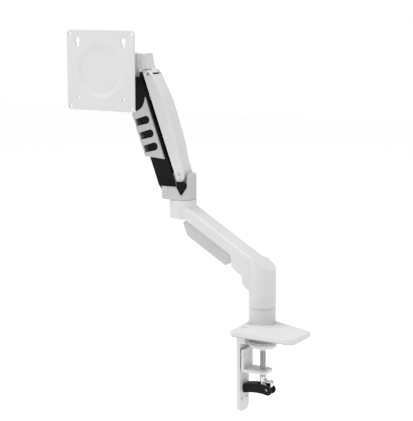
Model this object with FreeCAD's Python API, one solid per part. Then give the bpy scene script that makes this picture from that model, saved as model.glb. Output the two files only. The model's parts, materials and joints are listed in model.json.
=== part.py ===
"""Spring-balanced monitor arm with a desk clamp and a 75/100 mm screen plate.

Millimetres, +Z up. The origin is on the column axis, on the desk top.
The arm lies in the XZ plane, -Y is the side the screen plate faces, and -X is where the arm reaches.
"""

import FreeCAD, Part
import math
import os

V = FreeCAD.Vector
os.makedirs("parts", exist_ok=True)

# ---------------------------------------------------------------- driving sizes
RUN_FIT = 0.05          # radial clearance of a pin or spindle turning in its hole
SCREW_FIT = 0.25        # radial clearance round a clamping screw
TURN_GAP = 0.4          # open gap between a turning casting and what it passes

COLUMN_R = 18.7         # column, elbow barrel and head barrel share one radius
PAD_T = 2.0             # soft pad under the base plate
BASE_T = 6.0            # base plate thickness
BASE_TOP = PAD_T + BASE_T
BASE_LEDGE = 1.6        # the base stands out by this much round the column's foot
SEAM_Z = 30.0           # height of the swivel seam at the foot of the column
SEAM_GAP = 0.4

ELBOW_X = -124.6        # elbow swivel axis
BARREL_LOW = 143.0
ELBOW_Z = 169.4         # seam between elbow barrel and knuckle
CAP_R = 13.0            # cap under the elbow barrel
CAP_SEAT = 0.8          # depth of the cap's seat
ARM_HALF = 16.0         # half width of the lower arm
ARM_SLOPE = -0.6        # rise per mm of X along the lower arm
ARM_TOP_AT_0 = 93.6     # height of the lower arm's top face above the origin

P1 = (-122.9, 205.3)    # white link pivot at the knuckle
P2 = (-144.0, 193.0)    # black link pivot at the knuckle
LINK_DX = -50.0         # pivot to pivot of both links at rest
LINK_DZ = 136.0
LIFT_DOWN = 60.0        # degrees that the upper arm folds down from rest
HEAD_X = P2[0] + LINK_DX - COLUMN_R - 4.3     # head swivel axis, clear of the black link's end
HEAD_LOW = 331.0
HEAD_TOP = 369.5
HEAD_FOOT_IN = 2.3      # the head barrel draws in by this much at its foot
HEAD_FOOT_H = 5.0
LINK_PIN_R = 2.5
LOWER_PIN_R = 3.0
PIVOT_BOSS_R = 4.6      # material round the upper pins on the knuckle and the head link

WHITE_OUT = 13.5        # upper shell half width, outside
WHITE_IN = 10.5
BLACK_OUT = 10.2        # lower shell half width, outside
TANG = 7.7              # half width of the knuckle tang and of the head tang
BLACK_IN = TANG + 0.3
NECK = 10.0

SPRING_S = 9.2          # spring axis, below the line through the upper link's pivots
SPRING_R = 7.5
ROD_R = 3.0
ROD_PIN_R = 2.0
LEVER_R = 10.0          # spring lever on the knuckle
LEVER_ANGLE = 227.2

PLATE = 109.5           # screen plate, square
PLATE_T = 2.5
PLATE_Y = -65.0         # front face of the screen plate
PLATE_Z = 347.5
TILT_Y = -38.0
FLANGE_Y = -58.8        # flange of the plate swivel, held inside the hub
HUB_BACK_Y = -55.5
RIVET_R = 1.5
RIVET_CIRCLE_R = 15.5
SCREEN_PITCH = 100.0
SCREEN_PITCH_SMALL = 75.0
SCREEN_HOLE_R = 2.4
KEY_MOUTH_R = 4.2       # wide mouth of the two upper keyholes
KEY_MOUTH_UP = 3.0
KEY_SLOT_DOWN = 4.0
DISH_R = 37.5           # rim of the pressed dish
DISH_SLOPE = 7.0        # width of its sloping wall
DISH_DEPTH = 1.6
DISH_ROUND = 16.0       # both edges of the sloping wall run out softly

CLAMP_Y = -28.0
CLAMP_HALF = 13.5
BACK_X = -17.0          # outer face of the clamp's back plate
BACK_T = 5.0
BACK_LOW = -111.0
JAW_TOP = -49.0
JAW_T = 4.0
SCREW_X = 16.0
SCREW_R = 4.0
DISC_R = 18.5
DISC_TOP = -12.0
DISC_T = 5.0
BACK_CLEAR = 1.3        # least room between the turning handle's tip and the back plate
HANDLE_HIGH = 12.5
HANDLE_HALF = 5.0
HANDLE_BEND = 85.0      # radius of the handle's centre line
HANDLE_PIN_R = 2.0

LINK_LEN = math.hypot(LINK_DX, LINK_DZ)
UX = LINK_DX / LINK_LEN
UZ = LINK_DZ / LINK_LEN
Q1 = (P1[0] + LINK_DX, P1[1] + LINK_DZ)
Q2 = (P2[0] + LINK_DX, P2[1] + LINK_DZ)
ROD_PIN = (
    P1[0] + LEVER_R * math.cos(math.radians(LEVER_ANGLE)),
    P1[1] + LEVER_R * math.sin(math.radians(LEVER_ANGLE)),
)


# ---------------------------------------------------------------- helpers
def box(x0, x1, y0, y1, z0, z1):
    """Box between two corners."""
    return Part.makeBox(x1 - x0, y1 - y0, z1 - z0, V(x0, y0, z0))


def upright(x, y, radius, z0, z1):
    """Cylinder along Z."""
    return Part.makeCylinder(radius, z1 - z0, V(x, y, z0), V(0, 0, 1))


def cross(x, z, radius, half):
    """Cylinder along Y, centred on the arm's mid plane."""
    return Part.makeCylinder(radius, 2 * half, V(x, -half, z), V(0, 1, 0))


def cross_from(x, z, radius, y0, y1):
    """Cylinder along Y between two Y values."""
    return Part.makeCylinder(radius, y1 - y0, V(x, y0, z), V(0, 1, 0))


def lengthwise(y, z, radius, x0, x1):
    """Cylinder along X."""
    return Part.makeCylinder(radius, x1 - x0, V(x0, y, z), V(1, 0, 0))


def hull_wire(circles, place):
    """Closed wire round circles (a, b, r) listed counter-clockwise; place maps a, b to a point."""
    normals = []
    count = len(circles)
    for i in range(count):
        a0, b0, r0 = circles[i]
        a1, b1, r1 = circles[(i + 1) % count]
        length = math.hypot(a1 - a0, b1 - b0)
        da = (a1 - a0) / length
        db = (b1 - b0) / length
        along = (r0 - r1) / length
        side = math.sqrt(max(0.0, 1.0 - along * along))
        normals.append((along * da + side * db, along * db - side * da))
    edges = []
    for i in range(count):
        a, b, r = circles[i]
        n_in = normals[i - 1]
        n_out = normals[i]
        t_in = math.atan2(n_in[1], n_in[0])
        t_out = math.atan2(n_out[1], n_out[0])
        while t_out < t_in - 1e-9:
            t_out += 2 * math.pi
        t_mid = (t_in + t_out) / 2
        if r > 1e-6 and t_out - t_in > 1e-4:
            points = [place(a + r * math.cos(t), b + r * math.sin(t)) for t in (t_in, t_mid, t_out)]
            edges.append(Part.Arc(*points).toShape())
        a1, b1, r1 = circles[(i + 1) % count]
        start = place(a + r * n_out[0], b + r * n_out[1])
        end = place(a1 + r1 * n_out[0], b1 + r1 * n_out[1])
        if start.distanceToPoint(end) > 1e-6:
            edges.append(Part.makeLine(start, end))
    return Part.Wire(Part.__sortEdges__(edges))


def slab_z(circles, z0, z1):
    """Plan outline of circles (x, y, r), as thick as z0 to z1."""
    wire = hull_wire(circles, lambda a, b: V(a, b, z0))
    return Part.Face(wire).extrude(V(0, 0, z1 - z0))


def slab_y(circles, half, y_mid=0.0):
    """Side outline of circles (x, z, r), counter-clockwise with X right and Z up."""
    wire = hull_wire(circles, lambda a, b: V(a, y_mid - half, b))
    return Part.Face(wire).extrude(V(0, 2 * half, 0))


def link_point(pivot, a, s, y=0.0):
    """Point a mm along a link from its pivot and s mm to its lower side."""
    return V(pivot[0] + a * UX - s * UZ, y, pivot[1] + a * UZ + s * UX)


def link_slab(pivot, points, half):
    """Polygon of (along, below) points in a link's own axes, as wide as 2 * half."""
    corners = [link_point(pivot, a, s, -half) for a, s in points]
    wire = Part.makePolygon(corners + [corners[0]])
    return Part.Face(wire).extrude(V(0, 2 * half, 0))


def link_smooth(pivot, spine, closing, half):
    """Like link_slab, with a smooth curve through the spine points, then straight closing points."""
    curve = Part.BSplineCurve()
    curve.interpolate([link_point(pivot, a, s, -half) for a, s in spine])
    tail = [spine[-1]] + closing + [spine[0]]
    edges = [curve.toShape()]
    for (a0, s0), (a1, s1) in zip(tail[:-1], tail[1:]):
        edges.append(Part.makeLine(link_point(pivot, a0, s0, -half), link_point(pivot, a1, s1, -half)))
    wire = Part.Wire(Part.__sortEdges__(edges))
    return Part.Face(wire).extrude(V(0, 2 * half, 0))


def link_rod(pivot, s, radius, a0, a1):
    """Cylinder parallel to a link."""
    start = link_point(pivot, a0, s)
    return Part.makeCylinder(radius, a1 - a0, start, V(UX, 0, UZ))


def hexagon(x, y, across, z0, z1):
    """Hexagonal prism along Z."""
    radius = across / math.sqrt(3)
    points = [V(x + radius * math.cos(math.radians(60 * i)), y + radius * math.sin(math.radians(60 * i)), z0)
              for i in range(7)]
    return Part.Face(Part.makePolygon(points)).extrude(V(0, 0, z1 - z0))


def soften(shape, radius, wanted):
    """Fillet the edges for which wanted(edge) is true."""
    edges = [edge for edge in shape.Edges if wanted(edge)]
    return shape.makeFillet(radius, edges)


def runs_along(edge, direction):
    """True for a straight edge parallel to direction."""
    if edge.Curve.TypeId != "Part::GeomLine":
        return False
    return abs(edge.tangentAt(edge.FirstParameter).dot(direction)) > 0.999


def fuse(shapes):
    """One solid from touching shapes."""
    whole = shapes[0].fuse(shapes[1:]) if len(shapes) > 1 else shapes[0]
    return whole.removeSplitter()


def cut(shape, tools):
    """Shape with every tool taken away."""
    return shape.cut(tools)


HEAD_HEIGHT = 1.2       # height of a socket screw's head over its radius


def socket_screw(x, y, z_head, radius, length, down):
    """Socket-head screw along Z; its head's outer face is at z_head."""
    sign = -1 if down else 1
    head_r = radius * 1.7
    head_h = radius * HEAD_HEIGHT
    low = z_head + sign * head_h
    head = upright(x, y, head_r, min(z_head, low), max(z_head, low))
    end = z_head + sign * length
    shank = upright(x, y, radius, min(z_head, end), max(z_head, end))
    deep = z_head + sign * head_h * 0.6
    socket = hexagon(x, y, radius * 1.5, min(z_head, deep), max(z_head, deep))
    return fuse([head, shank]).cut(socket)


nodes = {}


def keep(name, shapes):
    """Register a node from one solid or a list of solids."""
    nodes[name] = shapes if isinstance(shapes, list) else [shapes]


# ---------------------------------------------------------------- base and clamp
def base_outline(inset):
    """Plan outline of the base: round the column, square at the desk edge."""
    return [
        (0.0, 0.0, COLUMN_R + BASE_LEDGE - inset),
        (-13.5, -59.5, 3.5 - inset),
        (67.0, -53.0, 12.0 - inset),
        (76.0, -13.5, 3.0 - min(inset, 2.0)),
    ]


BOSS_SCREWS = [(11.0 * math.cos(math.radians(t)), 11.0 * math.sin(math.radians(t))) for t in (30, 150, 270)]
BLOCK_SCREWS = [(-8.5, CLAMP_Y - 9.0), (-8.5, CLAMP_Y + 9.0)]


def make_base():
    """Base plate with its raised round boss, soft pad, spindle and boss screws."""
    plate = slab_z(base_outline(0.0), PAD_T, BASE_TOP)
    top = [e for e in plate.Edges if e.BoundBox.ZMin > BASE_TOP - 1e-6]
    plate = plate.makeFillet(1.2, top)
    holes = [upright(x, y, 2.0 + SCREW_FIT, PAD_T - 1, BASE_TOP + 1) for x, y in BOSS_SCREWS + BLOCK_SCREWS]
    sinks = [upright(x, y, 3.7, PAD_T - 1, PAD_T + 2.6) for x, y in BOSS_SCREWS]
    sinks += [upright(x, y, 3.7, BASE_TOP - 2.6, BASE_TOP + 1) for x, y in BLOCK_SCREWS]
    plate = cut(plate, holes + sinks)
    keep("base_plate", plate)

    pad = slab_z(base_outline(2.0), 0.0, PAD_T)
    pad = cut(pad, [box(-21, -3.5, CLAMP_Y - 15.5, CLAMP_Y + 15.5, -1, PAD_T + 1)])
    keep("base_pad", pad)

    boss = upright(0, 0, COLUMN_R, BASE_TOP, SEAM_Z - SEAM_GAP)
    rim = [e for e in boss.Edges if e.Curve.TypeId == "Part::GeomCircle" and e.BoundBox.ZMin > SEAM_Z - 1]
    boss = boss.makeChamfer(0.6, rim)
    boss = cut(boss, [upright(0, 0, 9.0, BASE_TOP - 1, SEAM_Z + 1)])
    boss = cut(boss, [upright(x, y, 2.0, BASE_TOP - 1, BASE_TOP + 11) for x, y in BOSS_SCREWS])
    keep("column_boss", boss)

    screws = [socket_screw(x, y, PAD_T + 0.2, 1.9, 12.0, False) for x, y in BOSS_SCREWS]
    keep("boss_screws", screws)

    spindle = upright(0, 0, 9.0, BASE_TOP, 76.0)
    spindle = cut(spindle, [upright(0, 0, 2.5, 60.0, 77.0)])
    keep("base_spindle", spindle)


def make_clamp():
    """Corner block, back plate, bolted lower jaw, screw, pressure disc and folding handle."""
    low, high = CLAMP_Y - 15.0, CLAMP_Y + 15.0
    block = box(-19.0, -4.0, low, high, -14.0, PAD_T)
    block = soften(block, 3.0, lambda e: runs_along(e, V(1, 0, 0)) and e.BoundBox.ZMax < -13)
    block = soften(block, 4.0, lambda e: runs_along(e, V(0, 0, 1)) and e.BoundBox.XMax < -18.9)
    slot_half = CLAMP_HALF + RUN_FIT
    back_face = BACK_X + BACK_T
    slot = box(BACK_X - RUN_FIT, back_face + RUN_FIT, CLAMP_Y - slot_half, CLAMP_Y + slot_half, -15, -1.0)
    block = cut(block, [slot])
    block = cut(block, [upright(x, y, 1.9, -11.0, PAD_T + 1) for x, y in BLOCK_SCREWS])
    keep("clamp_block", block)
    keep("block_screws", [socket_screw(x, y, BASE_TOP - 0.2, 1.9, 13.0, True) for x, y in BLOCK_SCREWS])

    back = box(BACK_X, BACK_X + BACK_T, CLAMP_Y - CLAMP_HALF, CLAMP_Y + CLAMP_HALF, BACK_LOW, -1.05)
    back = soften(back, 8.0, lambda e: runs_along(e, V(1, 0, 0)) and e.BoundBox.ZMax < BACK_LOW + 1)
    holes = [lengthwise(y, z, 2.5 + SCREW_FIT, BACK_X - 1, BACK_X + BACK_T + 1)
             for y in (CLAMP_Y - 7, CLAMP_Y + 7) for z in (-32.0, -72.0, -92.0)]
    back = cut(back, holes)
    keep("clamp_back_plate", back)

    spacer_x = BACK_X + BACK_T
    jaw_x = spacer_x + 2.0
    spacer = box(spacer_x, jaw_x, CLAMP_Y - 11, CLAMP_Y + 11, -38, -26)
    spacer = cut(spacer, [lengthwise(y, -32.0, 2.5 + SCREW_FIT, spacer_x - 1, jaw_x + 1)
                          for y in (CLAMP_Y - 7, CLAMP_Y + 7)])
    keep("jaw_spacer", spacer)

    upright_leg = box(jaw_x, jaw_x + 3.6, CLAMP_Y - CLAMP_HALF, CLAMP_Y + CLAMP_HALF, JAW_TOP - JAW_T, -22.0)
    leg = box(jaw_x, 25.5, CLAMP_Y - CLAMP_HALF, CLAMP_Y + CLAMP_HALF, JAW_TOP - JAW_T, JAW_TOP)
    jaw = fuse([upright_leg, leg])
    jaw = soften(jaw, 3.0, lambda e: runs_along(e, V(0, 1, 0)) and e.BoundBox.ZMax < JAW_TOP - 3
                 and e.BoundBox.XMax < jaw_x + 1)
    jaw = soften(jaw, 5.0, lambda e: runs_along(e, V(0, 0, 1)) and e.BoundBox.XMin > 25)
    jaw = cut(jaw, [lengthwise(y, -32.0, 2.4, jaw_x - 1, jaw_x + 5) for y in (CLAMP_Y - 7, CLAMP_Y + 7)])
    jaw = cut(jaw, [upright(SCREW_X, CLAMP_Y, 7.0, JAW_TOP - JAW_T - 1, JAW_TOP + 1)])
    keep("clamp_jaw", jaw)

    bolts = []
    for y in (CLAMP_Y - 7, CLAMP_Y + 7):
        head = lengthwise(y, -32.0, 4.6, BACK_X - 3.0, BACK_X)
        shank = lengthwise(y, -32.0, 2.4, BACK_X - 3.0, jaw_x + 7.0)
        bolts.append(fuse([head, shank]))
    keep("jaw_bolts", bolts)

    nut = upright(SCREW_X, CLAMP_Y, 7.0, JAW_TOP - JAW_T - 2.0, JAW_TOP)
    nut = fuse([nut, upright(SCREW_X, CLAMP_Y, 9.0, JAW_TOP, JAW_TOP + 3.0)])
    nut = cut(nut, [upright(SCREW_X, CLAMP_Y, SCREW_R + RUN_FIT, JAW_TOP - 10, JAW_TOP + 10)])
    keep("jaw_nut", nut)

    disc_low = DISC_TOP - DISC_T
    disc = upright(SCREW_X, CLAMP_Y, DISC_R, disc_low, DISC_TOP)
    rims = [e for e in disc.Edges if e.Curve.TypeId == "Part::GeomCircle"]
    disc = disc.makeFillet(1.0, rims)
    disc = fuse([disc, upright(SCREW_X, CLAMP_Y, 8.0, disc_low - 3.0, disc_low + 1)])
    ball_z = disc_low - 0.5
    ball = Part.makeSphere(5.0, V(SCREW_X, CLAMP_Y, ball_z))
    pocket = Part.makeSphere(5.0 + RUN_FIT, V(SCREW_X, CLAMP_Y, ball_z))
    neck_room = upright(SCREW_X, CLAMP_Y, 4.6, disc_low - 4, disc_low)
    disc = cut(disc, [pocket, neck_room])
    keep("pressure_disc", disc)
    keep("disc_pad", upright(SCREW_X, CLAMP_Y, DISC_R - 1.5, DISC_TOP, DISC_TOP + 2.0))

    screw_low = -62.0
    core = upright(SCREW_X, CLAMP_Y, SCREW_R - 1.0, screw_low, ball_z)
    thread = upright(SCREW_X, CLAMP_Y, SCREW_R, screw_low, disc_low - 4.0)
    screw = fuse([core, thread, ball.common(upright(SCREW_X, CLAMP_Y, 6, ball_z - 6, ball_z + 6))])
    keep("clamp_screw", screw)

    hx, hz = SCREW_X + 8.0, -76.0
    yoke = upright(SCREW_X, CLAMP_Y, 7.0, -64.0, -56.0)
    yoke = fuse([yoke, box(SCREW_X - 7, hx + 6.5, CLAMP_Y - 8.5, CLAMP_Y + 8.5, -67.0, -62.0),
                 slab_y([(hx, hz, 4.5), (hx + 4.5, -65.0, 2.0), (hx - 7, -65.0, 2.0)], 8.5, CLAMP_Y)])
    yoke = cut(yoke, [box(hx - 20, hx + 14, CLAMP_Y - 5.3, CLAMP_Y + 5.3, -90, -67.0)])
    yoke = cut(yoke, [upright(SCREW_X, CLAMP_Y, SCREW_R, -62.0, -50)])
    yoke = cut(yoke, [cross_from(hx, hz, HANDLE_PIN_R, CLAMP_Y - 12, CLAMP_Y + 12)])
    keep("handle_yoke", yoke)
    keep("handle_pin", cross_from(hx, hz, HANDLE_PIN_R, CLAMP_Y - 9.5, CLAMP_Y + 9.5))

    grip = handle_bar(BACK_X + BACK_T + BACK_CLEAR, hx + 2.3, hx - 13.0, hz + 1.0)
    grip = cut(grip, [cross_from(hx, hz, HANDLE_PIN_R + RUN_FIT, CLAMP_Y - 6, CLAMP_Y + 6)])
    keep("clamp_handle", grip)


def handle_bar(tip, end, crown_x, crown_z):
    """Gently arched bar of one height, square at the tip and round at the pivot end."""
    half = HANDLE_HIGH / 2
    y0, y1 = CLAMP_Y - HANDLE_HALF, CLAMP_Y + HANDLE_HALF
    centre_z = crown_z - HANDLE_BEND
    outer = cross_from(crown_x, centre_z, HANDLE_BEND + half, y0, y1)
    inner = cross_from(crown_x, centre_z, HANDLE_BEND - half, y0 - 1, y1 + 1)
    bar = outer.cut(inner).common(box(tip, end, y0, y1, centre_z, crown_z + half + 1))
    bar = soften(bar, 2.0, lambda e: runs_along(e, V(0, 1, 0)) and e.BoundBox.XMax < tip + 1)
    end_z = centre_z + math.sqrt(HANDLE_BEND ** 2 - (end - crown_x) ** 2)
    return fuse([bar, cross_from(end, end_z, half, y0, y1)])


# ---------------------------------------------------------------- lower arm
def arm_top(x):
    """Height of the lower arm's top face at x."""
    return ARM_TOP_AT_0 + ARM_SLOPE * x


def make_lower_arm():
    """Casting from the column to the elbow barrel, bushes, cap and clip-on cable cover."""
    half = ARM_HALF
    depth = 20.0
    profile = [
        V(12.0, -half, arm_top(12.0)),
        V(12.0, -half, 62.0),
        V(-14.0, -half, 54.0),
        V(-22.6, -half, 61.3),
        V(-23.4, -half, 72.3),
        V(-38.9, -half, arm_top(-38.9) - depth - 14.0),
        V(-41.0, -half, arm_top(-41.0) - depth),
        V(ELBOW_X - 4.0, -half, arm_top(ELBOW_X - 4.0) - depth),
        V(ELBOW_X - 4.0, -half, 160.0),
        V(-112.0, -half, 160.5),
    ]
    beam = Part.Face(Part.makePolygon(profile + [profile[0]])).extrude(V(0, 2 * half, 0))
    slope = V(1, 0, ARM_SLOPE).normalize()
    beam = soften(beam, 4.0, lambda e: runs_along(e, slope))
    column = upright(0, 0, COLUMN_R, SEAM_Z, 96.0)
    above = Part.Face(Part.makePolygon([
        V(-60, -40, arm_top(-60)), V(60, -40, arm_top(60)), V(60, -40, 200), V(-60, -40, 200),
        V(-60, -40, arm_top(-60)),
    ])).extrude(V(0, 80, 0))
    column = column.cut(above)
    barrel = upright(ELBOW_X, 0, COLUMN_R, BARREL_LOW, ELBOW_Z)
    rims = [e for e in barrel.Edges if e.Curve.TypeId == "Part::GeomCircle"]
    barrel = barrel.makeChamfer(0.8, rims)
    arm = fuse([beam, column, barrel])
    arm = cut(arm, [upright(0, 0, 11.5, SEAM_Z - 1, 60.0), upright(0, 0, 11.5, 59.0, 78.5)])
    arm = cut(arm, [upright(ELBOW_X, 0, 9.0, BARREL_LOW + 6.0, ELBOW_Z + 1)])
    arm = cut(arm, [upright(ELBOW_X, 0, 11.7, BARREL_LOW - 1, BARREL_LOW + 6.0)])
    arm = cut(arm, [upright(ELBOW_X, 0, CAP_R + 0.3, BARREL_LOW - 9, BARREL_LOW + CAP_SEAT)])
    channel = Part.Face(Part.makePolygon([
        V(-50.0, -10, arm_top(-50) - depth - 3), V(-50.0, -10, arm_top(-50) - depth + 9),
        V(-104.0, -10, arm_top(-104) - depth + 9), V(-104.0, -10, arm_top(-104) - depth - 3),
        V(-50.0, -10, arm_top(-50) - depth - 3),
    ])).extrude(V(0, 20, 0))
    arm = cut(arm, [channel])
    keep("lower_arm", arm)

    for name, z0, z1 in (("column_bush_low", SEAM_Z + 1, SEAM_Z + 13), ("column_bush_top", 62.0, 74.0)):
        keep(name, upright(0, 0, 11.5, z0, z1).cut(upright(0, 0, 9.0 + RUN_FIT, z0 - 1, z1 + 1)))
    washer = upright(0, 0, COLUMN_R - 1.7, SEAM_Z - SEAM_GAP, SEAM_Z)
    keep("seam_washer", washer.cut(upright(0, 0, 9.3, SEAM_Z - 2, SEAM_Z + 2)))

    for name, z0, z1 in (("elbow_bush_low", 150.0, 157.0), ("elbow_bush_top", 161.0, ELBOW_Z)):
        keep(name, upright(ELBOW_X, 0, 9.0, z0, z1).cut(upright(ELBOW_X, 0, 6.0 + RUN_FIT, z0 - 1, z1 + 1)))
    cap = upright(ELBOW_X, 0, CAP_R, BARREL_LOW - 1.2, BARREL_LOW + CAP_SEAT)
    keep("barrel_cap", cap)

    low = depth
    deep = depth + 21.0
    outer = [
        V(-42.0, -13, arm_top(-42) - low), V(-113.0, -13, arm_top(-113) - low),
        V(-117.5, -13, arm_top(-117.5) - low - 6.0), V(-110.0, -13, arm_top(-110) - deep),
        V(-52.0, -13, arm_top(-52) - deep), V(-43.0, -13, arm_top(-43) - low - 8.0),
    ]
    cover = Part.Face(Part.makePolygon(outer + [outer[0]])).extrude(V(0, 26, 0))
    cover = soften(cover, 3.0, lambda e: runs_along(e, slope)
                   and e.CenterOfMass.z < arm_top(e.CenterOfMass.x) - depth - 10)
    inner = [
        V(-47.0, -11, arm_top(-47) - low + 1), V(-108.0, -11, arm_top(-108) - low + 1),
        V(-108.0, -11, arm_top(-108) - deep + 2.4), V(-53.0, -11, arm_top(-53) - deep + 2.4),
        V(-47.0, -11, arm_top(-47) - low - 7.0),
    ]
    cover = cut(cover, [Part.Face(Part.makePolygon(inner + [inner[0]])).extrude(V(0, 22, 0))])
    mouth = [
        V(-104.0, -8, arm_top(-104) - low - 5), V(-130.0, -8, arm_top(-130) - low - 5),
        V(-130.0, -8, arm_top(-130) - low - 16), V(-104.0, -8, arm_top(-104) - low - 16),
    ]
    cover = cut(cover, [Part.Face(Part.makePolygon(mouth + [mouth[0]])).extrude(V(0, 16, 0))])
    keep("cable_cover", cover)


# ---------------------------------------------------------------- elbow knuckle
def make_knuckle():
    """Knuckle that turns on the elbow barrel and carries both links."""
    seam = ELBOW_Z + 0.4
    plan = [(ELBOW_X, 0, COLUMN_R - 0.2), (-138.0, 0, COLUMN_R - 0.2)]
    foot = slab_z(plan, seam, 187.0)
    wall = upright(ELBOW_X, 0, COLUMN_R - 0.2, 180.0, 207.0)
    wall = soften(wall, 6.0, lambda e: e.Curve.TypeId == "Part::GeomCircle" and e.BoundBox.ZMin > 206)
    wall = wall.common(box(-111.2, -90, -30, 30, 179, 210))
    tang = slab_y([
        (-113.5, 178.0, 1.0), (P1[0], P1[1], PIVOT_BOSS_R), (P2[0], P2[1], 9.0), (-146.0, 178.0, 1.0),
    ], TANG)
    low_lean = math.atan2(UZ, UX) + math.radians(LIFT_DOWN)
    far_x = P2[0] + 40.0 * math.cos(low_lean)
    far_z = P2[1] + 40.0 * math.sin(low_lean)
    room = slab_y([(P2[0], P2[1], 17.1), (far_x, far_z, 17.1)], BLACK_OUT + 0.5)
    room = room.cut(box(-147.5, -90, -TANG, TANG, 160, 220))
    foot = foot.cut(room)
    room_low = box(-147.0, -100, -TANG, TANG, seam, 187.0)
    foot = foot.fuse(room_low.common(slab_z(plan, seam, 187.0)))
    knuckle = fuse([foot, wall, tang])
    slot = box(-175.0, -119.0, -4.0, 4.0, 190.0, 230.0)
    knuckle = cut(knuckle, [slot, cross(ROD_PIN[0], ROD_PIN[1], 8.0, 4.0)])
    knuckle = cut(knuckle, [
        cross(P1[0], P1[1], LINK_PIN_R + RUN_FIT, 20),
        cross(P2[0], P2[1], LOWER_PIN_R, 20),
        cross(ROD_PIN[0], ROD_PIN[1], ROD_PIN_R, 20),
        upright(ELBOW_X, 0, 6.0, seam - 1, 184.0),
    ])
    keep("elbow_knuckle", knuckle)

    spindle = upright(ELBOW_X, 0, 6.0, 149.4, 184.0)
    spindle = cut(spindle, [upright(ELBOW_X, 0, 2.0, 148.0, 162.0)])
    keep("elbow_spindle", spindle)
    washer_low = 147.6
    screw_r = 1.95
    washer = upright(ELBOW_X, 0, 11.0, washer_low, 148.8)
    keep("elbow_washer", washer.cut(upright(ELBOW_X, 0, 2.0 + SCREW_FIT, 147, 150)))
    keep("elbow_screw", socket_screw(ELBOW_X, 0, washer_low - screw_r * HEAD_HEIGHT, screw_r, 14.0, False))

    heads = []
    for side in (-1, 1):
        y0, y1 = sorted((side * (BLACK_OUT + 0.1), side * (BLACK_OUT + 1.0)))
        heads.append(cross_from(P2[0], P2[1], 4.2, y0, y1))
    keep("lower_pivot_pin", fuse([cross(P2[0], P2[1], LOWER_PIN_R, BLACK_OUT + 0.5)] + heads))
    keep("rod_pin", cross(ROD_PIN[0], ROD_PIN[1], ROD_PIN_R, TANG))

    shield = slab_y([(-117.4, 178.4, 1.4), (-113.9, 187.5, 2.4), (-114.4, 193.4, 2.0), (-122.8, 193.9, 1.5),
                     (-122.8, 188.0, 1.5)], 30.0)
    skin = upright(ELBOW_X, 0, COLUMN_R + 0.6, 170, 196).cut(upright(ELBOW_X, 0, COLUMN_R - 0.2, 169, 197))
    lip = upright(ELBOW_X, 0, COLUMN_R - 0.2, 187.0, 193.4).cut(upright(ELBOW_X, 0, COLUMN_R - 2.2, 186, 197))
    hugging = shield.common(fuse([skin, lip]).common(box(ELBOW_X, -111.4, -30, 30, 160, 200)))
    keep("knuckle_trim", hugging.Solids)


# ---------------------------------------------------------------- upper arm
ANCHOR_SCREW_TIP = -9.7   # the blind hole stops inside the shell's back
WHITE_SPINE = [
    (9.0, -6.9), (21.0, -7.4), (35.0, -9.6), (60.0, -11.0), (85.0, -11.9), (100.0, -11.8), (118.0, -10.2),
    (133.0, -8.0), (144.0, -6.2), (149.5, -3.2),
]


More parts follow.
